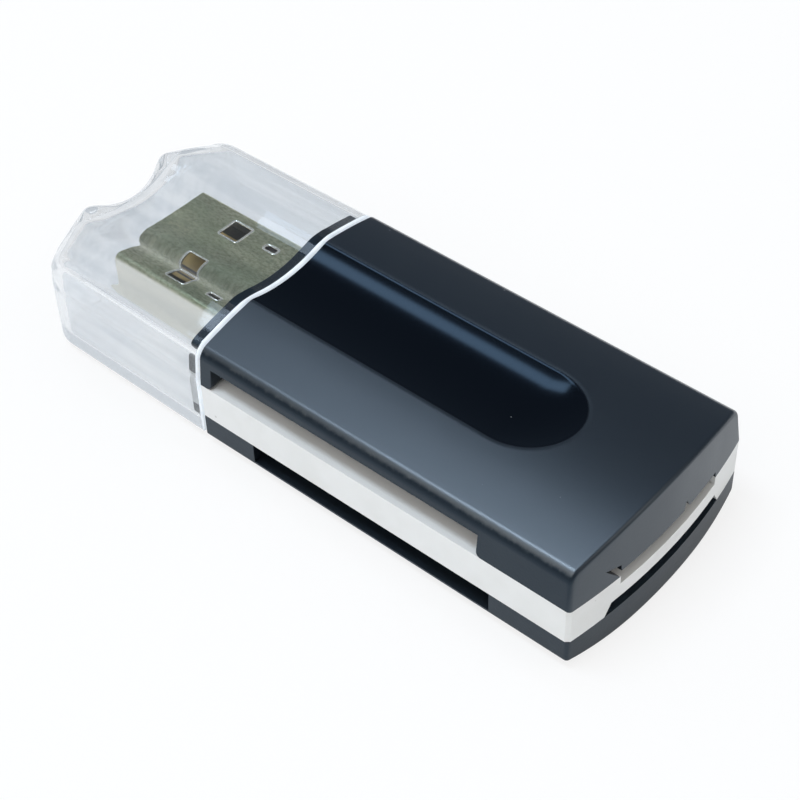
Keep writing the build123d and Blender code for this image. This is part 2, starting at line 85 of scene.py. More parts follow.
TROUGH_END_X = JOINT_X + TROUGH_LENGTH - math.sqrt(2 * TROUGH_RADIUS * TIP_RISE - TIP_RISE**2)
TURN_X, TURN_Z = CAP_END_X + TROUGH_DEPTH + TROUGH_TURN, TROUGH_FLOOR_Z - TROUGH_TURN
TURN_ARM = TROUGH_TURN + TROUGH_RADIUS
print("joint at", round(JOINT_X, 3), "ridge at", round(RIDGE_Z, 3), "trough floor", round(TROUGH_FLOOR_Z, 3))

# %% [markdown]
# ## The outside as one formula
# Body and cap share one outside: a crowned roof, leaning sides, a belly that is flat in the
# middle, a bulged rear and a trough that runs over the roof and down the cap's end. It could be
# cut from blocks, but the edges would then need bevels of many sizes. Here each face is a
# signed distance that is negative inside, and two faces meet in a round edge of a chosen size.

# %% Signed faces of the outside
def round_edge(a, b, radius):
    """Both faces a and b together: the larger of the two, with a circular edge of that radius."""
    corner = np.hypot(np.maximum(a + radius, 0), np.maximum(b + radius, 0))
    return np.minimum(-radius, np.maximum(a, b)) + corner


def quarter_fall(distance, radius):
    """Fall of a quarter circle: r minus the root of r squared less what is left of r, squared."""
    left = np.clip(radius - distance, 0, radius)
    return radius - np.sqrt(radius**2 - left**2)


def trough_face(x, y, z, inset, flat):
    """Inside of a tube of the trough's radius about its axis: straight along the roof, an elbow
    down the cap's end, and half a ball at the rear end. A share below 1 flattens it sideways, and
    the elbow is narrowed by the sine of twice its angle, so that its ridges run straight on."""
    ahead, above = np.maximum(TURN_X - x, 0), np.maximum(z - TURN_Z, 0)
    arm = np.hypot(ahead, above)
    flat = flat * (1 + END_NARROW * 2 * ahead * above / np.maximum(arm, 1e-6) ** 2)
    ball = np.maximum(x - TROUGH_END_X, 0)
    return TROUGH_RADIUS + inset - np.sqrt((arm - TURN_ARM) ** 2 + flat * y**2 + ball**2)


def outline(p, inset, edge, ridge, flat):
    """Largest of the faces at points p, drawn in by a wall thickness, with round edges."""
    x, y, z = p[..., 0], np.abs(p[..., 1]), p[..., 2]
    edge = np.maximum(edge - inset, INNER_ROUND)
    lean = DRAFT * np.maximum(z - FRAME_HIGH_Z, 0) / (EDGE_TOP_Z - FRAME_HIGH_Z)
    taper = CAP_TAPER * np.clip((CAP_OPEN_X - x) / (CAP_OPEN_X - CAP_END_X - END_CORNER), 0, 1)
    from_end = x - CAP_END_X - inset
    shoulder = np.interp(y, (TROUGH_HALF, 2 * TROUGH_HALF), END_SHOULDER)
    lift = CAP_LIFT * (x < JOINT_X)
    roof = np.hypot(y, z - ROOF_AXIS_Z) - ROOF_RADIUS + quarter_fall(from_end, shoulder - inset)
    side = y - HALF_WIDTH + taper + lean + quarter_fall(from_end, END_CORNER - inset)
    belly = np.hypot(np.maximum(y - LAND_HALF, 0), z - lift - BELLY_RADIUS) - BELLY_RADIUS
    belly = belly + quarter_fall(from_end, np.maximum(END_BELLY - inset, INNER_ROUND))
    rear = np.hypot(x - REAR_CENTRE_X, y) - REAR_RADIUS + lean
    ring = round_edge(round_edge(roof + inset, side + inset, edge), belly + inset, FOOT_ROUND)
    ring = np.maximum(round_edge(ring, rear + inset, REAR_ROUND), -from_end)
    return round_edge(ring, trough_face(x, y, z, inset, flat), ridge)


def cast(origin, direction, inset, edge=EDGE_ROUND, ridge=0.14, flat=1.0):
    """Points where rays from inside leave the outline, found by halving the step 46 times."""
    near, far = np.zeros(direction.shape[:-1]), np.full(direction.shape[:-1], 60.0)
    for _ in range(46):
        middle = (near + far) / 2
        outside = outline(origin + middle[..., None] * direction, inset, edge, ridge, flat) > 0
        near, far = np.where(outside, near, middle), np.where(outside, middle, far)
    return origin + near[..., None] * direction


print("roof height", cast(np.array([[10.0, 9.0, 6.0]]), np.array([[0.0, 0.0, 1.0]]), 0.0)[0].round(3))

# %% [markdown]
# ## From a grid to a mesh
# A surface is a grid of points, rows by columns, and each small square of the grid is one face.
# Rows of a closed ring wrap round. Rows are set closer together where the surface bends.

# %% Grid helpers
def grid_faces(rows, columns, wrap=False):
    """Quads of a grid: corner (i, j), its right neighbour, and the two above."""
    j = np.arange(columns if wrap else columns - 1)
    a = np.arange(rows - 1)[:, None] * columns + j
    b = np.arange(rows - 1)[:, None] * columns + (j + 1) % columns
    return np.stack([a, b, b + columns, a + columns], -1).reshape(-1, 4)


def spaced(points, count, extra):
    """Parameters 0 to 1 that share a polyline evenly by length, closer together where it bends."""
    step = np.diff(points, axis=0)
    length = np.linalg.norm(step, axis=1)
    heading = step / np.maximum(length, 1e-9)[:, None]
    bend = np.linalg.norm(np.diff(heading, axis=0, prepend=heading[:1]), axis=1)
    bend = np.convolve(bend, np.ones(9) / 9, mode="same")
    weight = np.concatenate([[0], np.cumsum(length + extra * bend)])
    return np.interp(np.linspace(0, weight[-1], count), weight, np.linspace(0, 1, len(points)))


def raw_object(name, points, faces):
    """A mesh object from points in millimetres and a list of faces."""
    mesh = bpy.data.meshes.new(name)
    mesh.from_pydata((np.asarray(points) * MM).tolist(), [], [[int(k) for k in f] for f in faces])
    mesh.validate()
    piece = bpy.data.objects.new(name, mesh)
    bpy.context.scene.collection.objects.link(piece)
    return piece


def finish_piece(piece, body, slot, material, *nodes, sharp=None):
    """Smooth the faces, keep edges over an angle sharp, and hand the piece to its body."""
    piece.data.shade_smooth()
    if sharp:
        piece.data.set_sharp_from_angle(angle=math.radians(sharp))
    piece.data.materials.clear()
    piece.data.materials.append(material)
    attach(piece, body)
    if nodes:
        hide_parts(*nodes)
    print(piece.name, len(piece.data.vertices), "points", len(piece.data.polygons), "faces")


def volume(piece):
    """Signed volume in cubic millimetres: a sixth of the sum of the triangles' triple products."""
    mesh = piece.data
    mesh.calc_loop_triangles()
    place, corner = np.zeros(3 * len(mesh.vertices)), np.zeros(3 * len(mesh.loop_triangles), int)
    mesh.vertices.foreach_get("co", place)
    mesh.loop_triangles.foreach_get("vertices", corner)
    a, b, c = np.moveaxis(place.reshape(-1, 3)[corner.reshape(-1, 3)], 1, 0) / MM
    return float(np.einsum("ij,ij->", a, np.cross(b, c)) / 6)


def fan_rows(foot, across, forward, count, extra, inset, **shape):
    """Rows over a closed end: rays from one foot tilt from square to straight ahead, and each
    column is shared out evenly along its own length. Gives the rows and the pole."""
    tilt = np.linspace(0, np.pi / 2, 500)[:, None, None]
    fine = cast(foot, np.cos(tilt) * across + np.sin(tilt) * np.asarray(forward), inset, **shape)
    at = np.stack([spaced(fine[:, k], count, extra) for k in range(fine.shape[1])], 1) * (len(fine) - 1)
    low = np.clip(at.astype(int), 0, len(fine) - 2)
    part = (at - low)[..., None]
    column = np.arange(fine.shape[1])[None, :]
    rows = fine[low, column] * (1 - part) + fine[low + 1, column] * part
    return rows[1:-1], fine[-1, 0]


print("a grid of 3 by 4 points has", len(grid_faces(3, 4)), "faces")

# %% [markdown]
# ## Shared node groups
# Moulded plastic is never one flat colour: the mould leaves a fine grain, handling leaves dust and
# small rubbed patches. One group gives the grain as a height, one the specks as a mask, and one
# soft blotches. They all read Object coordinates, so they stay on the piece when it moves.

# %% Node helpers and groups
def node(tree, kind, *links, **values):
    """Add a node; links are (socket, output) pairs, values set its own fields."""
    made = tree.nodes.new(kind)
    for field, value in values.items():
        setattr(made, field, value)
    for socket, source in links:
        if isinstance(source, bpy.types.NodeSocket):
            tree.links.new(source, made.inputs[socket])
        else:
            made.inputs[socket].default_value = source
    return made


def math_node(tree, operation, *sources):
    """A Math node fed in order, its value out."""
    return node(tree, "ShaderNodeMath", *enumerate(sources), operation=operation).outputs[0]


def ramp(tree, source, low, high, to_low=0.0, to_high=1.0):
    """Smooth step of a value from one range to another."""
    made = node(tree, "ShaderNodeMapRange", (0, source), (1, low), (2, high), (3, to_low), (4, to_high))
    made.interpolation_type = "SMOOTHSTEP"
    return made.outputs[0]


def object_place(tree):
    """Object coordinates, which stay on a piece when it moves."""
    return tree.nodes.new("ShaderNodeTexCoord").outputs["Object"]


def noise(tree, place, scale, detail, roughness=0.5):
    """Value of a noise texture at a place."""
    return node(tree, "ShaderNodeTexNoise", ("Vector", place), ("Scale", scale), ("Detail", detail),
                ("Roughness", roughness)).outputs[0]


def root_sum(tree, first, *others):
    """Root of the sum of the squares of some values."""
    total = math_node(tree, "MULTIPLY", first, first)
    for other in others:
        total = math_node(tree, "ADD", total, math_node(tree, "MULTIPLY", other, other))
    return math_node(tree, "SQRT", total)


def new_group(name, inputs, output):
    """An empty shader group with float inputs and one output, and its coordinate."""
    tree = bpy.data.node_groups.new(name, "ShaderNodeTree")
    for label, value in inputs.items():
        socket = tree.interface.new_socket(label, in_out="INPUT", socket_type="NodeSocketFloat")
        socket.default_value = value
    tree.interface.new_socket(output, in_out="OUTPUT", socket_type="NodeSocketFloat")
    ins = tree.nodes.new("NodeGroupInput").outputs
    return tree, ins, object_place(tree), tree.nodes.new("NodeGroupOutput").inputs[0]


grain_group, ins, place, result = new_group("moulded_grain", {"Scale": 9000.0}, "Height")
grain_group.links.new(noise(grain_group, place, ins["Scale"], 3.0), result)

blotch_inputs = {"Scale": 250.0, "Low": 0.4, "High": 0.65}
blotch_group, ins, place, result = new_group("rubbed_blotches", blotch_inputs, "Mask")
wide_noise = noise(blotch_group, place, ins["Scale"], 5.0)
blotch = node(blotch_group, "ShaderNodeMapRange", (0, wide_noise), (1, ins["Low"]), (2, ins["High"]))
blotch_group.links.new(blotch.outputs[0], result)

speck_inputs = {"Scale": 900.0, "Size": 0.12, "Share": 0.2}
speck_group, ins, place, result = new_group("dust_specks", speck_inputs, "Mask")
cells = node(speck_group, "ShaderNodeTexVoronoi", ("Vector", place), ("Scale", ins["Scale"]))
pick = node(speck_group, "ShaderNodeSeparateColor", (0, cells.outputs["Color"])).outputs[0]
chosen = math_node(speck_group, "LESS_THAN", pick, ins["Share"])
per_share = math_node(speck_group, "DIVIDE", ins["Size"], ins["Share"])
radius = math_node(speck_group, "MULTIPLY", pick, per_share)
inside = math_node(speck_group, "LESS_THAN", cells.outputs["Distance"], radius)
speck_group.links.new(math_node(speck_group, "MULTIPLY", chosen, inside), result)


def use_group(tree, group, **inputs):
    """A group node with its inputs set by name, its one value out."""
    made = node(tree, "ShaderNodeGroup", node_tree=group)
    for label, value in inputs.items():
        made.inputs[label].default_value = value
    return made.outputs[0]


def blend(tree, share, a, b):
    """Mix two colours or values by a share."""
    coloured = any(isinstance(v, tuple) or getattr(v, "type", "") == "RGBA" for v in (a, b))
    kind = "RGBA" if coloured else "FLOAT"
    made = node(tree, "ShaderNodeMix", data_type=kind)
    sockets = [s for s in made.inputs if s.enabled]
    for socket, value in zip(sockets, (share, a, b)):
        if isinstance(value, bpy.types.NodeSocket):
            tree.links.new(value, socket)
        else:
            socket.default_value = (*value, 1.0) if isinstance(value, tuple) else value
    return next(s for s in made.outputs if s.enabled)


def material(name, **sockets):
    """A Principled material with constants on the shader's own sockets; gives it, tree and shader."""
    made = bpy.data.materials.new(name)
    made.use_nodes = True
    shader = made.node_tree.nodes["Principled BSDF"]
    for label, value in sockets.items():
        socket = shader.inputs[label.replace("_", " ")]
        socket.default_value = (*value, 1.0) if isinstance(value, tuple) else value
    return made, made.node_tree, shader


def bump(tree, shader, height, distance, strength=1.0):
    """Bump of a height in millimetres on a shader."""
    made = node(tree, "ShaderNodeBump", ("Height", height), ("Distance", distance * MM),
                ("Strength", strength))
    tree.links.new(made.outputs[0], shader.inputs["Normal"])


print("groups", [g.name for g in (grain_group, blotch_group, speck_group)])

# %% [markdown]
# ## Black shells
# The shells are moulded in blue-black plastic with a satin grain. Only the trough is polished, so
# the material measures each point's distance from the trough's axis: inside that tube the grain
# fades out and the surface turns smooth and darker. Dust sits on the satin parts. The near top edge
# is painted lighter in patches, partly wear and partly a painted highlight. Roof and rear are
# blasted, and a rough coat gives them a stronger sheen.

# %% Black plastic
black, tree, shader = material("black_shell", IOR=1.5, Specular_Tint=(0.5, 0.75, 1.0),
                               Coat_IOR=1.75, Coat_Roughness=0.34)
axes = node(tree, "ShaderNodeSeparateXYZ", (0, object_place(tree))).outputs
along = math_node(tree, "MAXIMUM", math_node(tree, "SUBTRACT", axes[0], TROUGH_END_X * MM), 0.0)
up = math_node(tree, "SUBTRACT", axes[2], TROUGH_AXIS_Z * MM)
from_axis = root_sum(tree, along, up, axes[1])
polished = ramp(tree, from_axis, (TROUGH_RADIUS + 0.01) * MM, (TROUGH_RADIUS + 0.05) * MM, 1.0, 0.0)
unpolished = math_node(tree, "SUBTRACT", 1.0, polished)
specks = use_group(tree, speck_group, Scale=700.0, Size=0.07, Share=0.08)
rubbed = use_group(tree, blotch_group, Scale=160.0, Low=0.45, High=0.75)
satin = blend(tree, rubbed, (0.007, 0.009, 0.0125), (0.009, 0.0115, 0.015))
colour = blend(tree, polished, satin, (0.002, 0.0023, 0.0035))
colour = blend(tree, math_node(tree, "MULTIPLY", specks, 0.35), colour, (0.4, 0.42, 0.43))
# Painted highlight and wear: the near top edge is painted lighter in patches.
near_edge = ramp(tree, axes[1], (0.5 - ROOF_HALF) * MM, (0.2 - ROOF_HALF) * MM)
top_edge = ramp(tree, axes[2], (EDGE_TOP_Z - 0.4) * MM, (EDGE_TOP_Z - 0.1) * MM)
edge_patches = use_group(tree, blotch_group, Scale=2200.0, Low=0.45, High=0.75)
worn_edge_and_highlight = math_node(tree, "MULTIPLY", math_node(tree, "MULTIPLY", near_edge, top_edge), edge_patches)
colour = blend(tree, math_node(tree, "MULTIPLY", worn_edge_and_highlight, 0.5), colour, (0.10, 0.105, 0.10))
tree.links.new(colour, shader.inputs["Base Color"])
rough = blend(tree, polished, blend(tree, rubbed, 0.4, 0.34), 0.12)
tree.links.new(rough, shader.inputs["Roughness"])
from_roof_axis = root_sum(tree, math_node(tree, "SUBTRACT", axes[2], ROOF_AXIS_Z * MM), axes[1])
roof = ramp(tree, from_roof_axis, (ROOF_RADIUS - 0.3) * MM, (ROOF_RADIUS - 0.08) * MM)
rear = math_node(tree, "MULTIPLY", ramp(tree, axes[0], (REAR_X - 0.4) * MM, REAR_X * MM),
                 ramp(tree, axes[2], FRAME_LOW_Z * MM, FRAME_HIGH_Z * MM, 0.0, 0.35))
blasted = math_node(tree, "MULTIPLY", math_node(tree, "MAXIMUM", roof, rear), unpolished)
tree.links.new(blasted, shader.inputs["Coat Weight"])
height = math_node(tree, "MULTIPLY", use_group(tree, grain_group, Scale=4200.0), unpolished)
bump(tree, shader, height, 0.014, 0.6)
print(black.name, len(tree.nodes), "nodes, polished inside a tube of", round(TROUGH_RADIUS, 2), "mm")

# %% [markdown]
# ## White frame
# The frame is glossy white plastic, a little warm where light comes back off its own walls.

# %% White plastic
white, tree, shader = material("white_frame", Roughness=0.33)
rubbed = use_group(tree, blotch_group, Scale=220.0, Low=0.45, High=0.7)
specks = use_group(tree, speck_group, Scale=600.0, Size=0.1, Share=0.06)
colour = blend(tree, rubbed, (0.82, 0.815, 0.80), (0.78, 0.775, 0.755))
colour = blend(tree, math_node(tree, "MULTIPLY", specks, 0.4), colour, (0.35, 0.32, 0.28))
tree.links.new(colour, shader.inputs["Base Color"])
tree.links.new(blend(tree, rubbed, 0.3, 0.42), shader.inputs["Roughness"])
bump(tree, shader, use_group(tree, grain_group, Scale=6000.0), 0.006, 0.3)
print(white.name, len(tree.nodes), "nodes")

# %% [markdown]
# ## Clear plastic
# The cap is clear styrene. Light has to pass four surfaces, so a faint grey-blue tint on each adds
# up. The melt has left faint flow lines along the pull, which bend the view a little. Light that
# stays trapped in the wall would need endless bounces, so rays at one late bounce meet a grey
# instead of black. The cut rim is frosted and takes light like paper, with a faint glow of the
# light that the wall has led to it.

# %% Clear plastic
clear, tree, shader = material("clear_plastic", IOR=1.5, Transmission_Weight=1.0, Emission_Strength=1.0)
rubbed = use_group(tree, blotch_group, Scale=180.0, Low=0.4, High=0.75)
tree.links.new(blend(tree, rubbed, 0.01, 0.04), shader.inputs["Roughness"])
depth = tree.nodes.new("ShaderNodeLightPath").outputs["Ray Depth"]
trapped = math_node(tree, "COMPARE", depth, 6.0, 0.5)
tree.links.new(blend(tree, trapped, (0.0, 0.0, 0.0), (0.64, 0.68, 0.72)), shader.inputs["Emission Color"])
place = node(tree, "ShaderNodeMapping", ("Vector", object_place(tree)), ("Scale", (0.08, 1.0, 1.0)))
flow = noise(tree, place.outputs[0], 700.0, 1.0)
tint = blend(tree, rubbed, (0.87, 0.89, 0.91), (0.84, 0.865, 0.89))
tint = blend(tree, ramp(tree, flow, 0.42, 0.6, 0.0, 0.9), tint, (0.77, 0.80, 0.83))
tree.links.new(tint, shader.inputs["Base Color"])
bump(tree, shader, flow, 0.02, 0.5)

frosted, tree, shader = material("frosted_rim", IOR=1.5, Emission_Strength=1.0)
rubbed = use_group(tree, blotch_group, Scale=900.0, Low=0.4, High=0.7)
tree.links.new(blend(tree, rubbed, (0.8, 0.84, 0.88), (0.7, 0.74, 0.78)), shader.inputs["Base Color"])
led_light = blend(tree, rubbed, (0.2, 0.215, 0.23), (0.14, 0.15, 0.165))
tree.links.new(led_light, shader.inputs["Emission Color"])
tree.links.new(blend(tree, rubbed, 0.4, 0.55), shader.inputs["Roughness"])
print("clear finishes", [finish.name for finish in (clear, frosted)])

# %% [markdown]
# ## Metal and the small parts
# The plug is folded from plated sheet that has been handled and plugged in: dull, speckled and
# streaked along the way it slides. Its flanks are painted near white, a painted highlight, lighter
# than the dull top. The rest is seen only through the mouths.

# %% Metals, board and dark plastics
steel, tree, shader = material("plated_steel", Metallic=1.0)
place = node(tree, "ShaderNodeMapping", ("Vector", object_place(tree)), ("Scale", (0.6, 1.0, 1.0)))
tarnish = noise(tree, place.outputs[0], 3600.0, 6.0, 0.75)
rubbed = use_group(tree, blotch_group, Scale=260.0, Low=0.35, High=0.65)
dull = ramp(tree, tarnish, 0.36, 0.64)
colour = blend(tree, dull, (0.36, 0.37, 0.25), (0.70, 0.67, 0.47))
colour = blend(tree, math_node(tree, "MULTIPLY", rubbed, 0.45), colour, (0.36, 0.43, 0.27))
height = node(tree, "ShaderNodeSeparateXYZ", (0, object_place(tree))).outputs[2]
plug_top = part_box("usb_shell")[1][2]
on_top = ramp(tree, height, plug_top - 0.45 * MM, plug_top - 0.15 * MM)
# Painted highlight: the flanks below the top are painted near white, lighter than the top.
painted_bright_flanks = blend(tree, dull, (0.95, 0.92, 0.83), (1.0, 0.97, 0.88))
colour = blend(tree, on_top, painted_bright_flanks, colour)
tree.links.new(colour, shader.inputs["Base Color"])
tree.links.new(blend(tree, dull, 0.38, 0.28), shader.inputs["Roughness"])
bump(tree, shader, tarnish, 0.004, 0.4)

bright_steel, tree, shader = material("drawn_edge", Metallic=1.0)
rubbed = use_group(tree, blotch_group, Scale=1500.0, Low=0.35, High=0.65)
tree.links.new(blend(tree, rubbed, (0.95, 0.93, 0.86), (0.8, 0.78, 0.7)), shader.inputs["Base Color"])
tree.links.new(blend(tree, rubbed, 0.16, 0.26), shader.inputs["Roughness"])


def speckled(name, colour, roughness, metallic=0.0):
    """Small part: its colour varied by blotches and a fine grain."""
    made, tree, shader = material(name, Metallic=metallic)
    rubbed = use_group(tree, blotch_group, Scale=900.0, Low=0.35, High=0.7)
    tree.links.new(blend(tree, rubbed, colour, tuple(0.8 * c for c in colour)), shader.inputs["Base Color"])
    tree.links.new(blend(tree, rubbed, roughness, roughness + 0.1), shader.inputs["Roughness"])
    bump(tree, shader, use_group(tree, grain_group, Scale=9000.0), 0.004, 0.3)
    return made


by_slot = {
    "black_shell": black,
    "white_frame": white,
    "clear_cap": clear,
    "plug_shell": steel,
    "plug_insulator": speckled("plug_insulator", (0.09, 0.075, 0.06), 0.4),
    "contact_gold": speckled("contact_gold", (0.78, 0.6, 0.3), 0.28, 1.0),
    "carrier": speckled("carrier", (0.025, 0.025, 0.027), 0.45),
    "board": speckled("board", (0.03, 0.16, 0.07), 0.35),
    "chip": speckled("chip", (0.02, 0.02, 0.02), 0.5),
    "crystal_can": speckled("crystal_can", (0.6, 0.6, 0.58), 0.25, 1.0),
    "capacitor": speckled("capacitor", (0.42, 0.3, 0.18), 0.4),
    "resistor": speckled("resistor", (0.03, 0.03, 0.035), 0.4),
}
for row in frame["record"]["subparts"]:
    mesh = frame["nodes"][row["node"]].data
    mesh.materials.clear()
    mesh.materials.append(by_slot[row["material_slot"]])
print("materials", sorted(by_slot))

# %% [markdown]
# ## Clear cap
# The cap is one clear moulding with a nearly even wall. Refraction shows every dent, so the outer
# and the inner skin are both cast from the outline: rays run out square from the axis along the
# barrel and then fan out over the closed end. Outer and inner edges share their centres, which
# keeps the wall parallel round the bends, and the trough is a little shallower on the inside.

# %% Cap skins
CAP_FAN_X, CAP_MID_Z = CAP_END_X + 7.5, 6.0
CAP_ROUND, CAP_RIDGE, CAP_INNER_FLAT = 1.1, 0.5, 0.56
AROUND, DOME = 320, 84


def cap_skin(inset, bevel, flat):
    """Grid from the open rim to the pole of the closed end: rays at angle v round the axis, their
    foot moving along it, then tilting by u from square to straight forward."""
    shape = {"edge": CAP_ROUND, "ridge": max(CAP_RIDGE - inset, INNER_ROUND), "flat": flat}
    fine = np.linspace(0, 2 * np.pi, 6001)
    foot = np.array([CAP_FAN_X, 0.0, CAP_MID_Z])
    ring = cast(foot, np.stack([0 * fine, np.cos(fine), np.sin(fine)], -1), inset, **shape)
    v = np.interp(spaced(ring, AROUND + 1, 1.2)[:-1], np.linspace(0, 1, len(fine)), fine)
    across = np.stack([0 * v, np.cos(v), np.sin(v)], -1)
    back = np.concatenate([[0.0, 0.1, 0.25, 0.4, 0.5], np.linspace(0.9, CAP_OPEN_X - CAP_FAN_X, 40)])
    feet = np.zeros((len(back), AROUND, 3)) + [CAP_OPEN_X, 0, CAP_MID_Z]
    feet[..., 0] -= back[:, None]
    inward = inset + np.maximum(bevel - back, 0)[:, None]
    barrel = cast(feet, np.broadcast_to(across, feet.shape), inward, **shape)
    dome, pole = fan_rows(foot, across, (-1, 0, 0), DOME, 0.8, inset, **shape)
    return np.concatenate([barrel, dome]), pole


outer, outer_pole = cap_skin(0.0, RIM_BEVEL, 1.0)
inner, inner_pole = cap_skin(CAP_WALL, 0.0, CAP_INNER_FLAT)
rows, count = len(outer), outer[..., 0].size
skin = grid_faces(rows, AROUND, wrap=True)
last, first = (rows - 1) * AROUND + np.arange(AROUND), np.arange(AROUND)
end_out = np.stack([np.roll(last, -1), last, np.full(AROUND, 2 * count)], -1)
end_in = np.stack([last + count, np.roll(last, -1) + count, np.full(AROUND, 2 * count + 1)], -1)
rim = np.stack([first, np.roll(first, -1), np.roll(first, -1) + count, first + count], -1)
points = np.concatenate([outer.reshape(-1, 3), inner.reshape(-1, 3), outer_pole[None], inner_pole[None]])
cap = raw_object("cap_clear", points, [*skin[:, ::-1], *(skin + count), *rim, *end_out, *end_in])
finish_piece(cap, "cap", "clear_cap", clear, "clear_cap")

# %% [markdown]
# ## Frosted rim
# The open end of the cap is bevelled and left rough from the mould's parting line, so it shows as a
# pale line at the joint. A thin ring follows the bevel: its narrow section is carried round.

# %% Rim ring
def rim_ring(skin, lift):
    """Rows of the bevel, moved by a small lift square to it: out, and as far towards the body."""
    away = (skin - [0.0, 0.0, CAP_MID_Z]) * [0, 1, 1]
    away = away / np.linalg.norm(away, axis=-1, keepdims=True)
    return skin + lift * (away + np.array([1.0, 0, 0])) / math.sqrt(2)


bevel_rows = outer[:4]
section = np.concatenate([rim_ring(bevel_rows, 0.02), rim_ring(bevel_rows[::-1], -0.05)])
ring_faces = grid_faces(len(section) + 1, AROUND, wrap=True) % (len(section) * AROUND)
rim_piece = raw_object("cap_rim", section.reshape(-1, 3), ring_faces)
if volume(rim_piece) < 0:
    rim_piece.data.flip_normals()
finish_piece(rim_piece, "cap", "clear_cap", frosted)

# %% [markdown]
# ## Black covers
# Each cover is a thin shell that stops at the white frame. The outside is cast like the cap's, as
# a closed half block: rays fan over half a turn, and over the bulged rear they tilt to one pole.
# A second block, drawn in by the wall, is cut out of it, and the card mouths are cut as prisms, as
# a mould would core them.

# %% Half blocks and cutters
WALL, FRONT_WALL, COLLAR_LENGTH, COLLAR_WALL = 1.2, 1.2, 2.0, 0.9
COLLAR_INSET = CAP_WALL + CAP_PLAY
REAR_FAN_X, OVERCUT = REAR_X - 6.0, 0.5


def half_block(z_cut, way, inset, x_rows, columns, rear=True):
    """Closed block above (way 1) or below (way -1) a height: rays over half a turn from a spine at
    that height, then, with a rear, a fan tilting to a pole in the rear face."""
    fine = np.linspace(0, np.pi, 6001)
    turn = np.stack([0 * fine, np.cos(fine), way * np.sin(fine)], -1)
    ring = cast(np.array([0.0, 0.0, z_cut]), turn, inset)
    v = np.interp(spaced(ring, columns, 0.8), np.linspace(0, 1, len(fine)), fine)
    across = np.stack([0 * v, np.cos(v), way * np.sin(v)], -1)
    feet = np.zeros((len(x_rows), columns, 3)) + [0, 0, z_cut]
    feet[..., 0] = np.asarray(x_rows)[:, None]
    grid, pole = cast(feet, np.broadcast_to(across, feet.shape), inset), np.zeros((0, 3))
    if rear:
        dome, tip = fan_rows(feet[-1, 0], across, (1, 0, 0), 70, 1.0, inset)
        grid, pole = np.concatenate([grid, dome]), tip[None]
    rows, tip = len(grid), [len(grid) * columns] * len(pole)
    last = (rows - 1) * columns + np.arange(columns)
    ends = np.stack([last[:-1], last[1:], np.full(columns - 1, rows * columns)], -1) if rear else last[None]
    left = np.arange(rows) * columns
    parting = [*left, *tip, *(left + columns - 1)[::-1]]
    faces = [*grid_faces(rows, columns), *ends, parting, np.arange(columns)[::-1]]
    return np.concatenate([grid.reshape(-1, 3), pole]), faces if way > 0 else [f[::-1] for f in faces]


def prism_block(corners, axis, low, high):
    """Closed prism: a polygon in the two other axes, run along one axis."""
    corners, k = np.asarray(corners, float), np.arange(len(corners))
    ends = np.zeros((2, len(corners), 3))
    ends[0, :, axis], ends[1, :, axis] = low, high
    ends[..., [a for a in range(3) if a != axis]] = corners
    sides = np.stack([k, np.roll(k, -1), np.roll(k, -1) + len(k), k + len(k)], -1)
    x, y = corners.T
    turns = np.sum(x * np.roll(y, -1) - y * np.roll(x, -1)) * (-1 if axis == 1 else 1) > 0
    faces = [*sides, k[::-1], k + len(k)]
    return ends.reshape(-1, 3), faces if turns else [f[::-1] for f in faces]


def box_block(x0, x1, y0, y1, z0, z1):
    """Closed box between two corners."""
    return prism_block([(x0, y0), (x1, y0), (x1, y1), (x0, y1)], 2, z0, z1)


def arc(centre, radius, start, stop, count=9):
    """Points on an arc, angles in degrees."""
    angle = np.radians(np.linspace(start, stop, count))
    return np.stack([centre[0] + radius * np.cos(angle), centre[1] + radius * np.sin(angle)], -1).tolist()


def peg_block(place, radius, z0, z1):
    """Closed six-sided peg, standing on a place."""
    return prism_block(arc(place, radius, 0, 300, 6), 2, z0, z1)


def carve(piece, *steps):
    """Add (way 1) or cut (way -1) closed blocks, one after the other, and keep the result."""
    tools = []
    for way, block in steps:
        tools.append(block if isinstance(block, bpy.types.Object) else raw_object("tool", *block))
        change = piece.modifiers.new("change", "BOOLEAN")
        change.operation, change.solver = "UNION" if way > 0 else "DIFFERENCE", "EXACT"
        change.object = tools[-1]
    made = bpy.data.meshes.new_from_object(piece.evaluated_get(bpy.context.evaluated_depsgraph_get()))
    piece.modifiers.clear()
    piece.data = made
    for tool in tools:
        bpy.data.objects.remove(tool)
    print(piece.name, "volume", round(volume(piece), 1), "mm3")
    return piece


print("a box block has", len(box_block(0, 1, 0, 1, 0, 1)[1]), "faces")

# %% [markdown]
# ## Top cover
# The roof carries the polished trough to a round end, where rows of the grid lie close together so
# that the rim of the trough stays crisp. Inside are ribs that guide a card, and bosses for the pegs.

# %% Top cover
UPPER_MOUTH, UPPER_TOP_Z, MOUTH_ROUND = (JOINT_X + 1.22, REAR_X - 9.15), FRAME_HIGH_Z + 2.25, 0.5
NOTCH_Z, REAR_MOUTH = FRAME_HIGH_Z + 0.56, (-6.3, 6.9)
RIB, GUIDE_X, GUIDE_HALF = 0.8, (JOINT_X + 4.9, REAR_X - 11.95), HALF_WIDTH - 3.9
PEGS = [(x, y) for x in (JOINT_X + 3.4, REAR_X - 5.05) for y in (3.1 - HALF_WIDTH, HALF_WIDTH - 3.1)]
PEG_RADIUS, POST_RADIUS, PEG_TOP_Z = 0.8, 1.5, FRAME_HIGH_Z + 1.4
(plug_low, plug_high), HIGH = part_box("usb_shell"), 20.0
plug_hole = box_block(-30, 0, plug_low[1] / MM, plug_high[1] / MM, plug_low[2] / MM, plug_high[2] / MM)

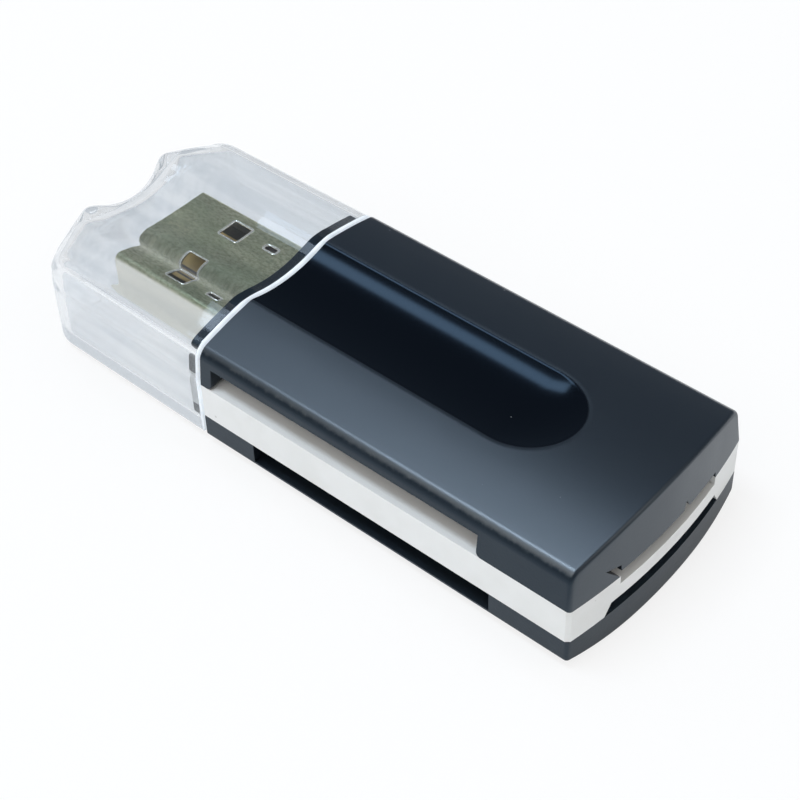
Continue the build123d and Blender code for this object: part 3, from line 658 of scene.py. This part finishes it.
tip_x = JOINT_X + TROUGH_LENGTH + 0.4
x_rows = np.concatenate([np.linspace(JOINT_X, TROUGH_END_X, 9)[:-1],
                         np.linspace(TROUGH_END_X, tip_x, 92),
                         np.linspace(tip_x, REAR_FAN_X, 6)[1:]])
top = raw_object("cover_top", *half_block(FRAME_HIGH_Z, 1, 0.0, x_rows, 300))
collar_x = np.linspace(JOINT_X - COLLAR_LENGTH, JOINT_X + FRONT_WALL / 2, 4)
hollow_x = np.linspace(JOINT_X - COLLAR_LENGTH + COLLAR_WALL, JOINT_X + FRONT_WALL + OVERCUT, 4)
room_x = np.linspace(JOINT_X + FRONT_WALL, REAR_FAN_X, 12)
room = raw_object("room", *half_block(FRAME_HIGH_Z - OVERCUT, 1, WALL, room_x, 90))
ribs = [box_block(x, x + RIB, -GUIDE_HALF, GUIDE_HALF, FRAME_HIGH_Z, HIGH) for x in GUIDE_X]
rear_ribs = (REAR_MOUTH[0] - RIB, REAR_MOUTH[1])
ribs += [box_block(GUIDE_X[1] + 2 * RIB, REAR_X - WALL, y, y + RIB, NOTCH_Z, HIGH) for y in rear_ribs]
ribs += [peg_block(p, POST_RADIUS, FRAME_HIGH_Z, HIGH) for p in PEGS]
carve(room, *((-1, r) for r in ribs))
x0, x1 = UPPER_MOUTH
low_z, mid_z = FRAME_HIGH_Z - 1.0, FRAME_HIGH_Z + MOUTH_ROUND
mouth = [(x0, UPPER_TOP_Z), *arc((x0 - MOUTH_ROUND, mid_z), MOUTH_ROUND, 0, -90),
         (x0 - MOUTH_ROUND, low_z), (x1 + MOUTH_ROUND, low_z),
         *arc((x1 + MOUTH_ROUND, mid_z), MOUTH_ROUND, 270, 180), (x1, UPPER_TOP_Z)]
y0, y1 = REAR_MOUTH
nick_y, nick = 2.3, (0.4, 0.8)
rear_mouth = [(y0, low_z), (y1, low_z), (y1, NOTCH_Z),
              (nick_y + nick[0], NOTCH_Z), (nick_y, NOTCH_Z + nick[1]), (nick_y - nick[0], NOTCH_Z),
              (y0 + 0.1, NOTCH_Z), (y0 + 0.1, NOTCH_Z + 0.6), (y0 - 1.6, NOTCH_Z + 1.1),
              (y0, FRAME_HIGH_Z - 0.1)]
carve(top, (1, half_block(FRAME_HIGH_Z, 1, COLLAR_INSET, collar_x, 90, False)), (-1, room),
      (-1, half_block(FRAME_HIGH_Z - OVERCUT, 1, COLLAR_INSET + COLLAR_WALL, hollow_x, 60, False)),
      (-1, plug_hole),
      (-1, prism_block(mouth, 1, -HALF_WIDTH - WALL, -HALF_WIDTH + 2 * WALL)),
      (-1, prism_block(rear_mouth, 0, REAR_X - 2 * WALL, REAR_X + 4)),
      *((-1, peg_block(p, PEG_RADIUS, FRAME_HIGH_Z - OVERCUT, PEG_TOP_Z)) for p in PEGS))
finish_piece(top, "reader", "black_shell", black, "top_cover", sharp=34)

# %% [markdown]
# ## Bottom cover
# The belly is the same block turned over. Its card mouth opens to the near side, and a low fence
# round the card's path and the four pegs stand on its floor.

# %% Bottom cover
LOWER_X, CARD_LOW_Z, STOP_Y = (JOINT_X + 5.75, REAR_X - 7.8), FRAME_LOW_Z - 2.07, HALF_WIDTH - 3.4
BOARD_LOW_Z, ROOT_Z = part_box("circuit_board")[0][2] / MM, EDGE_LOW_Z + WALL / 2
belly_x = np.linspace(JOINT_X, REAR_FAN_X, 14)
bottom = raw_object("cover_bottom", *half_block(FRAME_LOW_Z, -1, 0.0, belly_x, 220))
room = raw_object("room", *half_block(FRAME_LOW_Z + OVERCUT, -1, WALL, room_x, 90))
fence = [box_block(LOWER_X[0], LOWER_X[1], STOP_Y, STOP_Y + RIB, 0, FRAME_LOW_Z)]
fence_x = (LOWER_X[0] - RIB, LOWER_X[1])
fence += [box_block(x, x + RIB, WALL - HALF_WIDTH, STOP_Y + RIB, 0, FRAME_LOW_Z) for x in fence_x]
carve(room, *((-1, f) for f in fence))
carve(bottom, (1, half_block(FRAME_LOW_Z, -1, COLLAR_INSET, collar_x, 90, False)), (-1, room),
      (-1, half_block(FRAME_LOW_Z + OVERCUT, -1, COLLAR_INSET + COLLAR_WALL, hollow_x, 60, False)),
      (-1, box_block(*LOWER_X, -HALF_WIDTH - 1, STOP_Y, CARD_LOW_Z, FRAME_LOW_Z + 1)),
      *((1, peg_block(p, POST_RADIUS, ROOT_Z, BOARD_LOW_Z)) for p in PEGS),
      *((1, peg_block(p, PEG_RADIUS, ROOT_Z, PEG_TOP_Z)) for p in PEGS))
finish_piece(bottom, "reader", "black_shell", black, "bottom_cover", sharp=34)

# %% [markdown]
# ## Edges of the plug's windows
# The plug's windows are punched, and the sheet is drawn down a little round each one, so every
# window has a bright rounded lip. A small round section is carried along each window's outline.

# %% Plug lips
LIP, LIP_SINK, PLUG_TIP_X, PLUG_TOP_Z = 0.15, 0.09, plug_low[0] / MM, plug_high[2] / MM
WINDOW, WINDOW_BACK, WINDOW_Y, WINDOW_CORNER = (2.3, 2.6), 5.2, 3.25, 0.25
LANCE, LANCE_BACK, LANCE_Y, LANCE_CORNER = (1.5, 0.9), 9.8, 3.5, 0.3


def lip_rows(x, y, length, width, corner, z):
    """A ring of round section along a rounded rectangle: corner arcs joined, section angle u."""
    quarter = [arc((x + sx * (length / 2 - corner), y + sy * (width / 2 - corner)), corner, a, a + 90, 7)
               for sx, sy, a in ((1, 1, 0), (-1, 1, 90), (-1, -1, 180), (1, -1, 270))]
    path = np.concatenate(quarter)
    step = np.roll(path, -1, 0) - np.roll(path, 1, 0)
    side = np.stack([step[:, 1], -step[:, 0]], -1) / np.linalg.norm(step, axis=1, keepdims=True)
    u = np.linspace(0, 2 * np.pi, 12, endpoint=False)[:, None, None]
    flat = path + LIP * np.cos(u) * side
    return np.concatenate([flat, np.broadcast_to(z + LIP * np.sin(u), flat.shape[:2] + (1,))], -1)


rings = []
window_x, lance_x = PLUG_TIP_X + WINDOW_BACK + WINDOW[0] / 2, PLUG_TIP_X + LANCE_BACK + LANCE[0] / 2
for side in (-1, 1):
    rings.append(lip_rows(window_x, side * WINDOW_Y, *WINDOW, WINDOW_CORNER, PLUG_TOP_Z - LIP_SINK))
    rings.append(lip_rows(lance_x, side * LANCE_Y, *LANCE, LANCE_CORNER, PLUG_TOP_Z - LIP_SINK))
size = rings[0].shape[0] * rings[0].shape[1]
ring_faces = grid_faces(len(rings[0]) + 1, rings[0].shape[1], wrap=True) % size
lip_points = np.concatenate([ring.reshape(-1, 3) for ring in rings])
lip_faces = np.concatenate([ring_faces + k * size for k in range(len(rings))])
lips = raw_object("plug_lips", lip_points, lip_faces)
if volume(lips) < 0:
    lips.data.flip_normals()
finish_piece(lips, "reader", "plug_shell", bright_steel)

# %% [markdown]
# ## Floor and light
# A plain pale floor looks white to the camera and through the cap, and keeps a light shadow. Two
# bluish lamps stand high over the cap's end: a narrow strip draws the band in the trough, and a wide
# one the sheen on the near half of the roof. A front lamp lifts the white side, and a weak one
# behind lights the rear mouth. The sky is dim in reflections, so the rest of the black stays dark.

# %% Stage
def light_share(tree, rays, strength):
    """One share for the named kinds of ray, none for the others."""
    path = tree.nodes.new("ShaderNodeLightPath").outputs
    total = path[rays[0]]
    for ray in rays[1:]:
        total = math_node(tree, "MAXIMUM", total, path[ray])
    return math_node(tree, "MULTIPLY", total, strength)


FLOOR_HALF, FLOOR_DROP = 3000.0, 0.05
corners = np.array([[-1, -1, 0], [1, -1, 0], [1, 1, 0], [-1, 1, 0]]) * FLOOR_HALF - [0, 0, FLOOR_DROP]
floor = raw_object("floor", corners, [[0, 1, 2, 3]])
floor_white = bpy.data.materials.new("floor_white")
floor_white.use_nodes = True
tree = floor_white.node_tree
tree.nodes.clear()
pale = node(tree, "ShaderNodeBsdfDiffuse", ("Color", (0.85, 0.85, 0.85, 1)))
glow = node(tree, "ShaderNodeEmission", ("Color", (1, 1, 1, 1)))
seen = light_share(tree, ("Is Camera Ray", "Is Transmission Ray"), 0.8)
mirrored = light_share(tree, ("Is Glossy Ray",), 0.4)
share = math_node(tree, "MAXIMUM", seen, mirrored)
mix = node(tree, "ShaderNodeMixShader", (0, share), (1, pale.outputs[0]), (2, glow.outputs[0]))
node(tree, "ShaderNodeOutputMaterial", ("Surface", mix.outputs[0]))
floor.data.materials.append(floor_white)


def soft_lamp(name, toward, distance, sizes, radiance):
    """Flat lamp in a direction from the object, facing it, its second size running along the
    reader; power from its radiance and colour."""
    light = bpy.data.lights.new(name, "AREA")
    light.shape, light.size, light.size_y = "RECTANGLE", *sizes
    strongest = max(radiance)
    light.energy = strongest * math.pi * sizes[0] * sizes[1]
    light.color = [value / strongest for value in radiance]
    lamp = bpy.data.objects.new(name, light)
    bpy.context.scene.collection.objects.link(lamp)
    way = Vector(toward).normalized()
    lamp.location = way * distance
    lamp.rotation_mode = "QUATERNION"
    along = (Vector((1, 0, 0)) - way.x * way).normalized()
    lamp.rotation_quaternion = Matrix((along.cross(way), along, way)).transposed().to_quaternion()


soft_lamp("lamp_strip", (-0.32, 0.20, 0.92), 0.9, (0.11, 0.5), (2.1, 2.55, 3.1))
soft_lamp("lamp_over", (-0.22, -0.20, 0.94), 0.9, (0.22, 0.42), (9.2, 10.9, 12.6))
soft_lamp("lamp_rear", (0.65, 0.3, 0.7), 1.0, (0.5, 0.5), (1.0, 0.96, 0.88))
soft_lamp("lamp_front", (-0.1, -0.68, 0.72), 1.0, (0.7, 0.7), (1.55, 1.53, 1.47))

world = bpy.data.worlds.new("studio")
bpy.context.scene.world = world
world.use_nodes = True
tree = world.node_tree
tree.nodes.clear()
dim = node(tree, "ShaderNodeBackground", ("Color", (0.5, 0.72, 1.0, 1)), ("Strength", 0.12))
fill = node(tree, "ShaderNodeBackground", ("Color", (1.0, 1.0, 1.0, 1)), ("Strength", 0.55))
bright = node(tree, "ShaderNodeBackground", ("Color", (1, 1, 1, 1)), ("Strength", 1.0))
sky = tree.nodes.new("ShaderNodeTexCoord").outputs["Generated"]
up = node(tree, "ShaderNodeSeparateXYZ", (0, sky)).outputs[2]
through = light_share(tree, ("Is Transmission Ray",), 1.0)
walls = math_node(tree, "MULTIPLY", through, ramp(tree, up, 0.25, 0.6, 0.9, 0.28))
share = math_node(tree, "MAXIMUM", light_share(tree, ("Is Camera Ray",), 1.0), walls)
glossy = light_share(tree, ("Is Glossy Ray",), 1.0)
soft = node(tree, "ShaderNodeMixShader", (0, glossy), (1, fill.outputs[0]), (2, dim.outputs[0]))
mix = node(tree, "ShaderNodeMixShader", (0, share), (1, soft.outputs[0]), (2, bright.outputs[0]))
node(tree, "ShaderNodeOutputWorld", ("Surface", mix.outputs[0]))
print("lamps", sorted(light.name for light in bpy.data.lights))

# %% [markdown]
# ## Camera
# A long lens, looking down on the near side with the cap to the left.

# %% Camera
camera_data = bpy.data.cameras.new("camera")
camera = bpy.data.objects.new("camera", camera_data)
bpy.context.scene.collection.objects.link(camera)
bpy.context.scene.camera = camera
camera_data.sensor_width, camera_data.lens = 36.0, 86.231
camera_data.clip_start, camera_data.clip_end = 0.01, 20.0
camera.location = (0.080044, -0.087311, 0.123241)
camera.rotation_mode = "QUATERNION"
camera.rotation_quaternion = (0.87149235, 0.35006917, 0.13970513, 0.31374375)
bpy.context.scene.view_settings.view_transform = "Standard"
